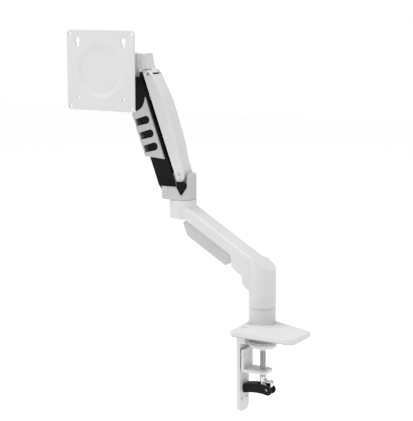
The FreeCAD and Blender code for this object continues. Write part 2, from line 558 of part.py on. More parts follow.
def make_upper_shell():
    """White upper link: two cheeks and a domed back."""
    foot = [(-7.4, 7.1), (-10.6, 1.8), (-10.9, -1.0), (-8.6, -4.6), (-3.0, -6.6)]
    closing = [(151.0, 2.0), (149.0, 7.1)] + foot
    outer = link_smooth(P1, WHITE_SPINE, closing, WHITE_OUT)
    outer = soften(outer, 3.2, lambda e: e.Curve.TypeId == "Part::GeomBSplineCurve")
    inner_spine = [(a, s + 2.8) for a, s in WHITE_SPINE[:-2]]
    inner = link_smooth(P1, inner_spine, [(133.0, 30.0), (9.0, 30.0)], WHITE_IN)
    thin = PIVOT_BOSS_R + 0.6
    back_end = LINK_LEN - 2.6
    ends = [link_slab(P1, [(-30, -thin), (-30, 30), (9.2, 30), (9.2, -thin)], WHITE_IN),
            link_slab(P1, [(132.5, -thin), (132.5, 30), (back_end, 30), (back_end, -thin)], WHITE_IN),
            link_slab(P1, [(back_end, -30), (back_end, 30), (170, 30), (170, -30)], WHITE_IN)]
    shell = cut(outer, [inner] + ends)
    shell = cut(shell, [cross(P1[0], P1[1], LINK_PIN_R, 20), cross(Q1[0], Q1[1], LINK_PIN_R, 20)])
    shell = cut(shell, [Part.makeCylinder(1.5, 30, link_point(P1, 116.0, ANCHOR_SCREW_TIP), V(-UZ, 0, UX))])
    keep("upper_shell", shell)

    keep("upper_pivot_pin", cross(P1[0], P1[1], LINK_PIN_R, WHITE_OUT - 0.6))
    keep("head_pivot_pin", cross(Q1[0], Q1[1], LINK_PIN_R, WHITE_OUT - 0.6))
    spacers = []
    for x, z in (P1, Q1):
        for side in (-1, 1):
            y0, y1 = sorted((side * (TANG + 0.2), side * WHITE_IN))
            spacer = cross_from(x, z, 3.9, y0, y1).cut(cross(x, z, LINK_PIN_R, 20))
            spacers.append(spacer)
    keep("pivot_spacers", spacers)

    tube = link_rod(P1, SPRING_S, SPRING_R, 36.0, 112.0)
    rims = [e for e in tube.Edges if e.Curve.TypeId == "Part::GeomCircle"]
    tube = tube.makeFillet(1.5, rims)
    mouth = link_rod(P1, SPRING_S, ROD_R + RUN_FIT, 30.0, 60.0)
    tube = cut(tube, [mouth, link_rod(P1, SPRING_S, 6.2, 40.0, 106.0)])
    keep("spring_cylinder", tube)

    anchor = link_slab(P1, [(112.0, -7.6), (112.0, 15.0), (119.0, 15.0), (119.0, -7.0)], TANG - 0.1)
    anchor = cut(anchor, [Part.makeCylinder(1.5, 14, link_point(P1, 116.0, -8.5), V(-UZ, 0, UX))])
    keep("spring_anchor", anchor)
    keep("anchor_screw", Part.makeCylinder(1.5, 11.0, link_point(P1, 116.0, ANCHOR_SCREW_TIP), V(-UZ, 0, UX)))

    eye_x, eye_z = ROD_PIN
    rod = link_rod(P1, SPRING_S, ROD_R, 0.0, 62.0)
    eye = Part.makeCylinder(6.0, 7.0, V(eye_x, -3.5, eye_z), V(0, 1, 0))
    rod = fuse([rod, eye])
    rod = cut(rod, [cross(eye_x, eye_z, ROD_PIN_R + 1.3, 6)])
    keep("spring_rod", rod)
    piston = link_rod(P1, SPRING_S, 6.0, 62.0, 68.0)
    keep("spring_piston", piston)


BLACK_OUTLINE = [
    (-7.0, 12.5), (-12.5, 6.0), (-13.0, -3.0), (-9.0, -9.5), (-3.0, -11.3), (137.0, -11.3), (147.5, -8.2),
    (151.3, -5.0), (153.0, 0.0), (151.3, 5.0), (147.5, 7.8), (139.0, 10.6), (122.0, 16.0), (2.0, 16.0),
]


COMB_TOP = [
    (121.0, -7.8), (117.2, -5.8), (113.3, -2.8), (109.7, 1.6), (107.6, 7.6), (107.0, 14.8), (107.2, 22.5),
]
COMB_WINDOWS = (91.0, 71.2, 52.2)


def make_lower_shell():
    """Black lower link: a trough on the same two pivots, with the clip-on cable comb."""
    shell = link_slab(P2, BLACK_OUTLINE, BLACK_OUT)
    along = V(UX, 0, UZ)
    low_side = link_point(P2, 2.0, 14.0).x
    shell = soften(shell, 2.0, lambda e: runs_along(e, along) and e.BoundBox.XMax < low_side)
    room = link_slab(P2, [(-30, -30), (-30, 13.6), (170, 13.6), (170, -30)], BLACK_IN)
    ends = [link_slab(P2, [(-30, -30), (-30, 30), (4, 30), (4, -30)], BLACK_IN),
            link_slab(P2, [(121, -30), (121, 30), (170, 30), (170, -30)], BLACK_IN)]
    shell = cut(shell, [room] + ends)
    shell = cut(shell, [cross(x, z, LOWER_PIN_R + RUN_FIT, 20) for x, z in (P2, Q2)])
    keep("lower_shell", shell)

    out = WHITE_OUT - 0.5
    comb = link_smooth(P2, COMB_TOP, [(47.5, 22.5), (43.5, 20.5), (37.8, 6.6), (31.0, -7.8)], out)
    low_side = link_point(P2, 50.0, 20.0).x
    comb = soften(comb, 3.5, lambda e: runs_along(e, along) and e.BoundBox.XMax < low_side)
    comb = cut(comb, [link_slab(P2, [(10, -1.5), (10, 20.5), (140, 20.5), (140, -1.5)], out - 2.0)])
    comb = cut(comb, [link_slab(P2, [(10, -20), (10, 0), (140, 0), (140, -20)], BLACK_OUT)])
    for middle in COMB_WINDOWS:
        right = link_point(P2, middle, 1.6)
        left = link_point(P2, middle + 1.8, 27.0)
        depth = out - 9.5
        for side in (-1, 1):
            y_mid = side * (9.5 + depth)
            comb = cut(comb, [slab_y([(right.x, right.z, 5.6), (left.x, left.z, 4.6)], depth, y_mid)])
    keep("cable_comb", comb)


# ---------------------------------------------------------------- head
def barrel_body(gap):
    """Outer form of the head barrel with its drawn-in foot, grown by gap."""
    foot_r = COLUMN_R - HEAD_FOOT_IN
    foot_top = HEAD_LOW + HEAD_FOOT_H
    base = V(HEAD_X, 0, HEAD_LOW - gap)
    foot = Part.makeCone(foot_r + gap, COLUMN_R + gap, HEAD_FOOT_H + gap, base, V(0, 0, 1))
    return fuse([foot, upright(HEAD_X, 0, COLUMN_R + gap, foot_top, HEAD_TOP + gap)])


def neck_cover():
    """White cover that stands up behind the barrel, with a thin web that reaches toward it."""
    side = [
        (-184.4, 347.6), (-184.0, HEAD_TOP), (-179.6, HEAD_TOP), (-178.6, 363.6), (-176.9, 355.5),
        (-174.9, 349.2), (-174.6, 347.6),
    ]
    corners = [V(x, -NECK, z) for x, z in side]
    neck = Part.Face(Part.makePolygon(corners + [corners[0]])).extrude(V(0, 2 * NECK, 0))
    neck = soften(neck, 1.6, lambda e: e.BoundBox.ZMin > HEAD_TOP - 0.1)
    web = box(-200.0, -184.0, -3.0, 3.0, 347.6, HEAD_TOP - 0.8)
    return fuse([neck, web])


def make_head():
    """Levelled head link, swivelling head block, tilt yoke and screen plate."""
    tang = slab_y([(Q2[0], Q2[1], 6.0), (Q1[0], Q1[1], PIVOT_BOSS_R)], TANG)
    mast = slab_y([(Q1[0], Q1[1], PIVOT_BOSS_R), (-180.0, 352.0, 2.0), (-182.4, 352.0, 2.0)], 4.0)
    tang = cut(fuse([tang, mast]), [barrel_body(TURN_GAP)])
    reach = box(HEAD_X, Q2[0], -TANG, TANG, 320.5, 330.5)
    seat = upright(HEAD_X, 0, 12.0, 320.5, 330.5)
    link = fuse([tang, reach, seat])
    link = cut(link, [
        cross(Q1[0], Q1[1], LINK_PIN_R + RUN_FIT, 20),
        cross(Q2[0], Q2[1], LOWER_PIN_R, 20),
        upright(HEAD_X, 0, 5.0, 320.0, 331.0),
    ])
    keep("head_link", link)
    heads = []
    for side in (-1, 1):
        y0, y1 = sorted((side * (BLACK_OUT + 0.1), side * (BLACK_OUT + 1.0)))
        heads.append(cross_from(Q2[0], Q2[1], 4.2, y0, y1))
    keep("lower_head_pin", fuse([cross(Q2[0], Q2[1], LOWER_PIN_R, BLACK_OUT + 0.5)] + heads))
    cover = neck_cover()
    cover = cut(cover, [mast, barrel_body(TURN_GAP)])
    keep("head_link_cover", cover)
    floor = HEAD_TOP - 5.2
    flange_low = floor + 0.1
    spindle = fuse([upright(HEAD_X, 0, 5.0, 318.5, flange_low), upright(HEAD_X, 0, 7.5, 318.5, 320.5)])
    spindle = cut(spindle, [upright(HEAD_X, 0, 1.6, 352.0, 365.0)])
    keep("head_spindle", spindle)
    keep("head_washer", upright(HEAD_X, 0, 11.0, 330.5, HEAD_LOW).cut(upright(HEAD_X, 0, 5.3, 330, 332)))

    block = barrel_body(0.0)
    block = soften(block, 1.0, lambda e: e.BoundBox.ZMin > HEAD_TOP - 0.1)
    nose = slab_x([(TILT_Y, PLATE_Z, 9.0), (-10.0, PLATE_Z - 8.0, 1.0), (-10.0, PLATE_Z + 8.0, 1.0)], 6.5)
    block = fuse([block, nose])
    block = cut(block, [
        upright(HEAD_X, 0, 7.0, HEAD_LOW - 1, floor + 0.3),
        upright(HEAD_X, 0, 9.0, floor, HEAD_TOP + 1),
        lengthwise(TILT_Y, PLATE_Z, 4.0 + RUN_FIT, HEAD_X - 20, HEAD_X + 20),
    ])
    keep("head_block", block)
    bush = upright(HEAD_X, 0, 7.0, HEAD_LOW + 0.5, 363.0)
    keep("head_bush", bush.cut(upright(HEAD_X, 0, 5.0 + RUN_FIT, 330, 365)))
    flange = upright(HEAD_X, 0, 8.2, flange_low, flange_low + 1.0)
    shank = upright(HEAD_X, 0, 1.55, flange_low - 10.0, flange_low)
    socket = hexagon(HEAD_X, 0, 3.0, flange_low + 0.9, flange_low + 3.0)
    screw = fuse([flange, shank, upright(HEAD_X, 0, 3.0, flange_low + 1.0, flange_low + 2.4)])
    keep("head_screw", cut(screw, [socket]))
    keep("head_cap", upright(HEAD_X, 0, 9.0, HEAD_TOP - 2.3, HEAD_TOP - 0.7))

    yoke_parts = []
    for side in (-1, 1):
        x0, x1 = sorted((HEAD_X + side * 6.8, HEAD_X + side * 11.5))
        cheek = slab_x([(TILT_Y, PLATE_Z, 9.5), (-52.5, PLATE_Z + 9.0, 1.0), (-52.5, PLATE_Z - 9.0, 1.0)],
                       (x1 - x0) / 2, (x0 + x1) / 2)
        yoke_parts.append(cheek)
    web = box(HEAD_X - 11.5, HEAD_X + 11.5, -53.5, -49.0, PLATE_Z - 10.0, PLATE_Z + 10.0)
    shaft = cross_from(HEAD_X, PLATE_Z, 8.0, -60.8, -52.0)
    flange = cross_from(HEAD_X, PLATE_Z, 11.0, -60.8, FLANGE_Y)
    yoke = fuse(yoke_parts + [web, shaft, flange])
    yoke = cut(yoke, [lengthwise(TILT_Y, PLATE_Z, 4.0 + SCREW_FIT, HEAD_X - 20, HEAD_X + 20)])
    keep("tilt_yoke", yoke)
    bolt = fuse([lengthwise(TILT_Y, PLATE_Z, 4.0, HEAD_X - 14.5, HEAD_X + 16.5),
                 lengthwise(TILT_Y, PLATE_Z, 6.5, HEAD_X - 18.5, HEAD_X - 13.3)])
    bolt = cut(bolt, [Part.makeCylinder(2.6, 3.0, V(HEAD_X - 18.5, TILT_Y, PLATE_Z), V(1, 0, 0))])
    keep("tilt_bolt", bolt)
    washers = []
    for x0 in (HEAD_X - 13.3, HEAD_X + 11.5):
        ring = lengthwise(TILT_Y, PLATE_Z, 7.0, x0, x0 + 1.8)
        washers.append(ring.cut(lengthwise(TILT_Y, PLATE_Z, 4.0, x0 - 1, x0 + 3)))
    keep("tilt_washers", washers)
    nut = lengthwise(TILT_Y, PLATE_Z, 6.2, HEAD_X + 13.3, HEAD_X + 17.5)
    keep("tilt_nut", cut(nut, [lengthwise(TILT_Y, PLATE_Z, 4.0, HEAD_X, HEAD_X + 30)]))


def slab_x(circles, half, x_mid=HEAD_X):
    """Side outline of circles (y, z, r), counter-clockwise with Y right and Z up."""
    ordered = orient(circles)
    wire = hull_wire(ordered, lambda a, b: V(x_mid - half, a, b))
    return Part.Face(wire).extrude(V(2 * half, 0, 0))


def orient(circles):
    """The same circles, listed counter-clockwise."""
    area = 0.0
    for (a0, b0, _), (a1, b1, _) in zip(circles, circles[1:] + circles[:1]):
        area += a0 * b1 - a1 * b0
    return circles if area > 0 else list(reversed(circles))


def make_plate():
    """Screen plate with its pressed dish, hub ring and rivets."""
    x0, x1 = HEAD_X - PLATE / 2, HEAD_X + PLATE / 2
    z0, z1 = PLATE_Z - PLATE / 2, PLATE_Z + PLATE / 2
    back_y = PLATE_Y + PLATE_T
    plate = box(x0, x1, PLATE_Y, back_y, z0, z1)
    plate = soften(plate, 5.0, lambda e: runs_along(e, V(0, 1, 0)))
    across = V(0, 1, 0)
    floor_r = DISH_R - DISH_SLOPE
    boss = Part.makeCone(DISH_R + 1.5, floor_r + 1.5, DISH_DEPTH, V(HEAD_X, back_y, PLATE_Z), across)
    plate = fuse([plate, boss])
    dish = Part.makeCone(DISH_R, floor_r, DISH_DEPTH, V(HEAD_X, PLATE_Y, PLATE_Z), across)
    floor_y = PLATE_Y + DISH_DEPTH
    dish = soften(dish, DISH_ROUND, lambda e: e.BoundBox.YMin > floor_y - 0.01)
    plate = cut(plate, [dish])
    plate = soften(plate, DISH_ROUND, lambda e: e.BoundBox.YMax < PLATE_Y + 0.01
                   and abs(e.BoundBox.XLength - 2 * DISH_R) < 0.01)
    large = SCREEN_PITCH / 2
    small = SCREEN_PITCH_SMALL / 2
    holes = [cross_from(HEAD_X + sx * large, PLATE_Z + sz * large, SCREEN_HOLE_R, -80, -40)
             for sx in (-1, 1) for sz in (-1, 1)]
    holes += [cross_from(HEAD_X + sx * small, PLATE_Z - small, SCREEN_HOLE_R, -80, -40) for sx in (-1, 1)]
    slot_low = PLATE_Z + small - KEY_SLOT_DOWN
    slot_high = PLATE_Z + small + KEY_MOUTH_UP
    for sx in (-1, 1):
        x = HEAD_X + sx * small
        holes.append(cross_from(x, slot_high, KEY_MOUTH_R, -80, -40))
        holes.append(cross_from(x, slot_low, SCREEN_HOLE_R, -80, -40))
        holes.append(box(x - SCREEN_HOLE_R, x + SCREEN_HOLE_R, -80, -40, slot_low, slot_high))
    plate = cut(plate, holes)
    diagonal = RIVET_CIRCLE_R / math.sqrt(2)
    rivet_spots = [(HEAD_X + sx * diagonal, PLATE_Z + sz * diagonal) for sx in (-1, 1) for sz in (-1, 1)]
    plate = cut(plate, [cross_from(x, z, RIVET_R, back_y, back_y + DISH_DEPTH + 1) for x, z in rivet_spots])
    keep("screen_plate", plate)

    hub = cross_from(HEAD_X, PLATE_Z, 20.0, back_y + DISH_DEPTH, HUB_BACK_Y)
    hub = cut(hub, [
        cross_from(HEAD_X, PLATE_Z, 8.0 + RUN_FIT, -70, -50),
        cross_from(HEAD_X, PLATE_Z, 11.0 + RUN_FIT, -70, FLANGE_Y + 0.05),
    ])
    hub = cut(hub, [cross_from(x, z, RIVET_R, -70, -50) for x, z in rivet_spots])
    keep("plate_hub", hub)
    rivets = []
    for x, z in rivet_spots:
        shank = cross_from(x, z, RIVET_R, back_y, HUB_BACK_Y)
        rivets.append(fuse([shank, cross_from(x, z, 2.6, HUB_BACK_Y, HUB_BACK_Y + 1.0)]))
    keep("hub_rivets", rivets)


make_base()
make_clamp()
make_lower_arm()
make_knuckle()
make_upper_shell()
make_lower_shell()
make_head()
make_plate()

for name, shapes in nodes.items():
    shape = shapes[0] if len(shapes) == 1 else Part.makeCompound(shapes)
    shape.exportStep("parts/" + name + ".step")
    solids = len(shape.Solids)
    print(name, "solids", solids, "valid", shape.isValid(), "volume", round(shape.Volume, 1))
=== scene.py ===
# %% [markdown]
# # A monitor arm, dressed for the studio
# The arm clamps to a desk edge, reaches out on a fixed lower arm and lifts a square screen
# plate on a spring-balanced upper arm. The engineering model comes in first, as a frame that
# never moves. Every part of it gets a finish, and the parts that catch the eye get a finer
# piece in their place.

# %% Load the frame
import bpy
import json
import math
from mathutils import Matrix, Vector


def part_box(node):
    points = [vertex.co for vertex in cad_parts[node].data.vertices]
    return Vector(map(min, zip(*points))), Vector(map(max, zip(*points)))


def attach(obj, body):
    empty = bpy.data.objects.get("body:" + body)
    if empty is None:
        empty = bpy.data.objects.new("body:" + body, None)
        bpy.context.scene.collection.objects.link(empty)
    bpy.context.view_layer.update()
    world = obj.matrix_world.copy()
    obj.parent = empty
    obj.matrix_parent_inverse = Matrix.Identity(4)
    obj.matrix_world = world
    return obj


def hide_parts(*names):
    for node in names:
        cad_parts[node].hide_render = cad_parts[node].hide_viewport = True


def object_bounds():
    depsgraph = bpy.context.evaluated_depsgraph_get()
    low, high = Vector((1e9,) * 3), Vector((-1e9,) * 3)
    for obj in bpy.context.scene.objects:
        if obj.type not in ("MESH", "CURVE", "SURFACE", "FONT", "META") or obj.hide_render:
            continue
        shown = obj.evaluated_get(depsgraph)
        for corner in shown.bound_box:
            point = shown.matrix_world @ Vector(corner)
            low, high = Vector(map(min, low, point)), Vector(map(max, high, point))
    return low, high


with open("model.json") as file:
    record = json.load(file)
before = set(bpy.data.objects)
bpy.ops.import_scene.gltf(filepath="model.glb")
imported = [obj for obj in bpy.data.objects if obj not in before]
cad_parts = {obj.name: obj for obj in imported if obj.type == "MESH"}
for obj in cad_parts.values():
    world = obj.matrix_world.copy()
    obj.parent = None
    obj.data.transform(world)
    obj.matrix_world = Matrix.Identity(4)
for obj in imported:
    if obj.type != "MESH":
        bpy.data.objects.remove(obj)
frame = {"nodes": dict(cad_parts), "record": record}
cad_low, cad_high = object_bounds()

nodes = frame["nodes"]
print("frame:", len(nodes), "parts")
print("box", [round(v, 4) for v in cad_low], [round(v, 4) for v in cad_high])

# %% [markdown]
# ## The camera
# A product like this is shown with a long lens from a few steps away, so that verticals stay
# upright and the plate keeps its shape. The camera stands on the plate's side, a little past
# the desk end and a little above the middle of the arm.


# %% Put a thing in the scene and aim it
def add_to_scene(name, data):
    """Make an object of a camera, a lamp, a curve or a mesh, and put it in the scene."""
    thing = bpy.data.objects.new(name, data)
    bpy.context.scene.collection.objects.link(thing)
    return thing


def aim(thing, target):
    """Turn a camera or a lamp so that it looks at target."""
    away = Vector(target) - thing.location
    thing.rotation_euler = away.to_track_quat("-Z", "Y").to_euler()


# %% Camera
SENSOR_WIDTH = 36.0
LENS = 111.2
CAMERA_PLACE = (0.7870, -1.5397, 0.4557)
CAMERA_AIM = (-0.0874, 0.0, 0.1556)

camera_data = bpy.data.cameras.new("studio_camera")
camera_data.sensor_width = SENSOR_WIDTH
camera_data.lens = LENS
camera = add_to_scene("studio_camera", camera_data)
camera.location = CAMERA_PLACE
aim(camera, CAMERA_AIM)
bpy.context.scene.camera = camera
print("camera", [round(v, 3) for v in camera.location], "lens", camera_data.lens)

# %% [markdown]
# ## The floor
# The arm hangs on a desk edge, which isn't part of it, so it stands on nothing here. The
# floor is a wide pale sheet some way below the clamp. It gives off a little light of its own,
# which fades the shadow and lets the floor run into the backdrop without a line.

# %% Floor
FLOOR_SIZE = 14.0
FLOOR_DROP = 0.35
FLOOR_GLOW = 0.4
FULL_WHITE = (1.0, 1.0, 1.0, 1.0)


def set_sockets(node, values):
    """Set a node's sockets, given as a dict of socket name to value."""
    for socket, value in values.items():
        node.inputs[socket].default_value = value


bpy.ops.object.select_all(action="DESELECT")
bpy.ops.mesh.primitive_plane_add(size=FLOOR_SIZE, location=(0.0, 0.0, cad_low[2] - FLOOR_DROP))
floor = bpy.context.active_object
floor.name = "studio_floor"
floor_finish = bpy.data.materials.new("floor_white")
floor_finish.use_nodes = True
set_sockets(floor_finish.node_tree.nodes["Principled BSDF"], {
    "Base Color": (0.9, 0.9, 0.9, 1.0),
    "Roughness": 0.9,
    "Emission Color": FULL_WHITE,
    "Emission Strength": FLOOR_GLOW,
})
floor.data.materials.append(floor_finish)
print("floor at", round(cad_low[2] - FLOOR_DROP, 3))

# %% [markdown]
# ## The room
# The arm is nearly white, so in a white room only its own shading sets it off. The even light
# that falls on it is therefore kept below full white, while the backdrop is fully white. A
# Light Path node picks between the two, because it knows which rays come from the camera.
# The Standard view transform leaves whites white, where the usual one would grey them.

# %% Room
ROOM_LIGHT = 0.635
BACKDROP_LIGHT = 1.0


def add_node(tree, kind, values=None):
    """Add a shader node and set its sockets."""
    node = tree.nodes.new(kind)
    set_sockets(node, values or {})
    return node


world = bpy.context.scene.world or bpy.data.worlds.new("room")
bpy.context.scene.world = world
world.use_nodes = True
room = world.node_tree
even_light = room.nodes["Background"]
set_sockets(even_light, {"Color": FULL_WHITE, "Strength": ROOM_LIGHT})
backdrop = add_node(room, "ShaderNodeBackground",
                    {"Color": FULL_WHITE, "Strength": BACKDROP_LIGHT})
rays = add_node(room, "ShaderNodeLightPath")
either = add_node(room, "ShaderNodeMixShader")
room.links.new(rays.outputs["Is Camera Ray"], either.inputs["Fac"])
room.links.new(even_light.outputs["Background"], either.inputs[1])
room.links.new(backdrop.outputs["Background"], either.inputs[2])
room.links.new(either.outputs["Shader"], room.nodes["World Output"].inputs["Surface"])
bpy.context.scene.view_settings.view_transform = "Standard"
print("room light", ROOM_LIGHT, "backdrop", BACKDROP_LIGHT)

# %% [markdown]
# ## The lamps
# Three large soft lamps give each face its own tone. The widest hangs overhead and lights the
# tops, the key lamp stands in front of the plate, and the fill lamp keeps the desk side from
# going dull. They are square area lamps, which light like a studio's soft boxes.

# %% Lamps: place, target, size in metres, power in watts
lamps = {
    "top_lamp": ((-0.3, -0.4, 2.4), (-0.1, 0.0, 0.2), 1.8, 38.0),
    "key_lamp": ((-1.9, -1.1, 1.7), (-0.2, 0.0, 0.3), 0.7, 13.0),
    "fill_lamp": ((2.2, -1.0, 0.9), (-0.1, 0.0, 0.2), 1.6, 8.0),
}
for name, (place, target, size, power) in lamps.items():
    lamp_data = bpy.data.lights.new(name, "AREA")
    lamp_data.shape = "SQUARE"
    lamp_data.size = size
    lamp_data.energy = power
    lamp = add_to_scene(name, lamp_data)
    lamp.location = place
    aim(lamp, target)
print("lamps:", sorted(lamps))

# %% [markdown]
# ## Finishes
# Every finish is a small recipe of noise. A slow noise shifts the colour and the gloss a
# little, because no coat is perfectly even. A fine noise feeds the bump, because powder coat
# has the skin of an orange and moulded plastic a faint spark texture. All of it reads Object
# coordinates in metres, so the grain has one real size on every part.

# %% A recipe for coated and moulded surfaces
LEAST_ROUGH = 0.03
GRAIN_DEPTH = 0.0002


def finish(name, colour, rough, metal=0.0, drift=0.02, grain=900.0, bump=0.05,
           patch=18.0, spread=0.05, shine=0.5):
    """A finish whose tone wanders by drift and its gloss by spread, in patches.

    grain and bump are the scale and the strength of the fine relief, and shine is the
    specular level.
    """
    mat = bpy.data.materials.new(name)
    mat.use_nodes = True
    tree = mat.node_tree
    bsdf = tree.nodes["Principled BSDF"]
    set_sockets(bsdf, {"Metallic": metal, "Specular IOR Level": shine})
    coords = add_node(tree, "ShaderNodeTexCoord")
    slow = add_node(tree, "ShaderNodeTexNoise", {"Scale": patch, "Detail": 4.0})
    fine = add_node(tree, "ShaderNodeTexNoise", {"Scale": grain, "Detail": 3.0})
    tint = add_node(tree, "ShaderNodeValToRGB")
    dark, light = tint.color_ramp.elements
    dark.position, light.position = 0.35, 0.65
    dark.color = (*[max(0.0, c * (1.0 - drift)) for c in colour], 1.0)
    light.color = (*[min(1.0, c * (1.0 + drift)) for c in colour], 1.0)
    gloss = add_node(tree, "ShaderNodeMapRange", {
        "From Min": 0.3, "From Max": 0.7,
        "To Min": max(LEAST_ROUGH, rough - spread), "To Max": min(1.0, rough + spread),
    })
    relief = add_node(tree, "ShaderNodeBump", {"Strength": bump, "Distance": GRAIN_DEPTH})
    link = tree.links.new
    link(coords.outputs["Object"], slow.inputs["Vector"])
    link(coords.outputs["Object"], fine.inputs["Vector"])
    link(slow.outputs["Fac"], tint.inputs["Fac"])
    link(slow.outputs["Fac"], gloss.inputs["Value"])
    link(tint.outputs["Color"], bsdf.inputs["Base Color"])
    link(gloss.outputs["Result"], bsdf.inputs["Roughness"])
    link(fine.outputs["Fac"], relief.inputs["Height"])
    link(relief.outputs["Normal"], bsdf.inputs["Normal"])
    return mat


# %% [markdown]
# ## Bare metal
# Turned and drawn metal carries fine marks that run one way. The recipe above is kept, and
# its gloss is fed by a second noise that a Mapping node stretches along the marks. A low
# scale on an axis makes long streaks along it, and a high one packs them close.


# %% A recipe for bare metal
def brushed(name, colour, rough, stretch, streak=0.12):
    """Bare metal with fine streaks; stretch is the noise scale along X, Y and Z."""
    mat = finish(name, colour, rough, metal=1.0, drift=0.04, grain=1400.0, bump=0.03, patch=30.0)
    tree = mat.node_tree
    pull = add_node(tree, "ShaderNodeMapping", {"Scale": stretch})
    lines = add_node(tree, "ShaderNodeTexNoise", {"Scale": 1.0, "Detail": 5.0})
    gloss = tree.nodes["Map Range"]
    set_sockets(gloss, {
        "From Min": 0.0, "From Max": 1.0,
        "To Min": max(LEAST_ROUGH, rough - streak), "To Max": rough + streak,
    })
    link = tree.links.new
    link(tree.nodes["Texture Coordinate"].outputs["Object"], pull.inputs["Vector"])
    link(pull.outputs["Vector"], lines.inputs["Vector"])
    link(lines.outputs["Fac"], gloss.inputs["Value"])
    return mat


# %% [markdown]
# ## One finish for each kind of surface
# The castings are powder coated in white, the knuckle and the clip-on mouldings are grey, and
# the black link has little shine, so that it stays black under the lamps. The names on the
# left are the finish slots of the engineering record, and the last two are extra.

# %% The finishes
WHITE = (0.62, 0.622, 0.625)
BLACK = (0.006, 0.006, 0.0065)

finishes = {
    "white_paint": finish("white_powder_coat", WHITE, 0.42, drift=0.012, grain=1100.0, bump=0.12),
    "white_plastic": finish(
        "white_moulding", (0.61, 0.61, 0.605), 0.5, drift=0.01, grain=1500.0, bump=0.05),
    "grey_knuckle": finish(
        "grey_knuckle_paint", (0.475, 0.48, 0.485), 0.45, drift=0.02, grain=1100.0, bump=0.1),
    "grey_plastic": finish(
        "grey_moulding", (0.475, 0.48, 0.48), 0.55, drift=0.02, grain=1500.0, bump=0.06),
    "black_plastic": finish(
        "black_moulding", BLACK, 0.45, drift=0.15, grain=1600.0, bump=0.1, shine=0.12),
    "black_metal": finish("black_coat", BLACK, 0.4, drift=0.1, bump=0.05, shine=0.12),
    "steel": brushed("brushed_steel", (0.55, 0.55, 0.56), 0.34, (40.0, 900.0, 900.0)),
    "plated": brushed(
        "bright_plating", (0.66, 0.66, 0.67), 0.18, (300.0, 300.0, 60.0), streak=0.06),
    "dark_steel": brushed("oiled_steel", (0.16, 0.16, 0.165), 0.38, (300.0, 300.0, 300.0)),
    "bearing_plastic": finish("bearing_plastic", (0.62, 0.60, 0.54), 0.5, drift=0.03),
    "rubber": finish(
        "soft_rubber", (0.018, 0.018, 0.018), 0.75, drift=0.2, grain=700.0, bump=0.25, shine=0.2),
    "pale_rubber": finish(
        "pale_rubber", (0.5, 0.5, 0.5), 0.7, drift=0.04, grain=700.0, bump=0.25),
    "thread_steel": brushed("thread_steel", (0.52, 0.52, 0.53), 0.42, (300.0, 300.0, 900.0)),
}
print("finishes:", sorted(finishes))

# %% [markdown]
# ## Dress the frame
# The record names a finish slot for every part, so one pass gives each part its finish. The
# thin pads and the block's screws are set apart: pale rubber and painted screws leave no dark
# line or bare spot under the white base.

# %% Give each part its finish
slot_of = {part["node"]: part["material_slot"] for part in frame["record"]["subparts"]}
odd_finish = {"base_pad": "pale_rubber", "disc_pad": "pale_rubber", "block_screws": "white_paint"}


def coat(piece, *names):
    """Give a piece these finishes, in this order, and no others."""
    piece.data.materials.clear()
    for name in names:
        piece.data.materials.append(finishes[name])


for name, part in nodes.items():
    coat(part, odd_finish.get(name, slot_of[name]))
print("dressed", len(nodes), "parts")

# %% [markdown]
# ## Handing a piece over
# A new piece has three things to say: which body it moves with, which part of the frame it
# stands for, and which finish slot it belongs to. One helper says all three, and looks the
# body up from the part, so that the two always agree.

# %% Which body carries which part
carrier = {
    part: body
    for body, parts in frame["record"]["behaviour"]["bodies"].items()
    for part in parts
}


def settle(piece, part):
    """Hand a finished piece over: it rides with part's body, stands for it, keeps its finish."""
    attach(piece, carrier[part])
    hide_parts(part)
    if not piece.data.materials:
        coat(piece, slot_of[part])


print("bodies:", sorted(set(carrier.values())))

# %% [markdown]
# ## Working by hand, in code
# An operator acts on whatever is selected, and the frame's parts arrive selected. So each
# step starts by making one piece the only one selected. Edit mode opens with all of the piece
# selected, and closes with the faces turned outward where the step has made new ones.


# %% Helpers for shaping
def only(piece):
    """Make piece the only selected and the active object."""
    bpy.ops.object.select_all(action="DESELECT")
    piece.select_set(True)
    bpy.context.view_layer.objects.active = piece


def open_edit(piece):
    """Enter edit mode on one piece, with all of it selected."""
    only(piece)
    bpy.ops.object.mode_set(mode="EDIT")
    bpy.ops.mesh.select_all(action="SELECT")


def close_edit(outward=True):
    """Turn all faces outward if asked to, and leave edit mode."""
    if outward:
        bpy.ops.mesh.select_all(action="SELECT")
        bpy.ops.mesh.normals_make_consistent(inside=False)
    bpy.ops.object.mode_set(mode="OBJECT")


# %% [markdown]
# ## Finer twins
# The castings and mouldings have sharp edges in the frame, and real ones never do: paint and
# moulding leave an edge of half a millimetre or more, and that edge is what catches the
# light. They could be modelled again from nothing, but a twin is surer to fit: a copy of the
# part's skin, merged to one closed surface, with its flat areas joined and its sharp edges
# bevelled. Weighted normals then keep the large faces flat beside the small bevels.

# %% A closed copy
MERGE_DISTANCE = 0.000002
FLAT_ANGLE = 0.6


def merged_copy(part, name):
    """A closed copy of a frame part's skin, its flat areas joined."""
    source = nodes[part]
    mesh = source.data.copy()
    mesh.transform(source.matrix_world)
    twin = add_to_scene(name, mesh)
    open_edit(twin)
    bpy.ops.mesh.remove_doubles(threshold=MERGE_DISTANCE)
    bpy.ops.mesh.dissolve_limited(angle_limit=math.radians(FLAT_ANGLE))
    close_edit()
    return twin


# %% Real edges
EDGE_ANGLE = 38.0
SMOOTH_ANGLE = 30.0


def apply_modifier(piece, name):
    """Make a modifier's result the piece's own mesh."""
    only(piece)
    bpy.ops.object.modifier_apply(modifier=name)


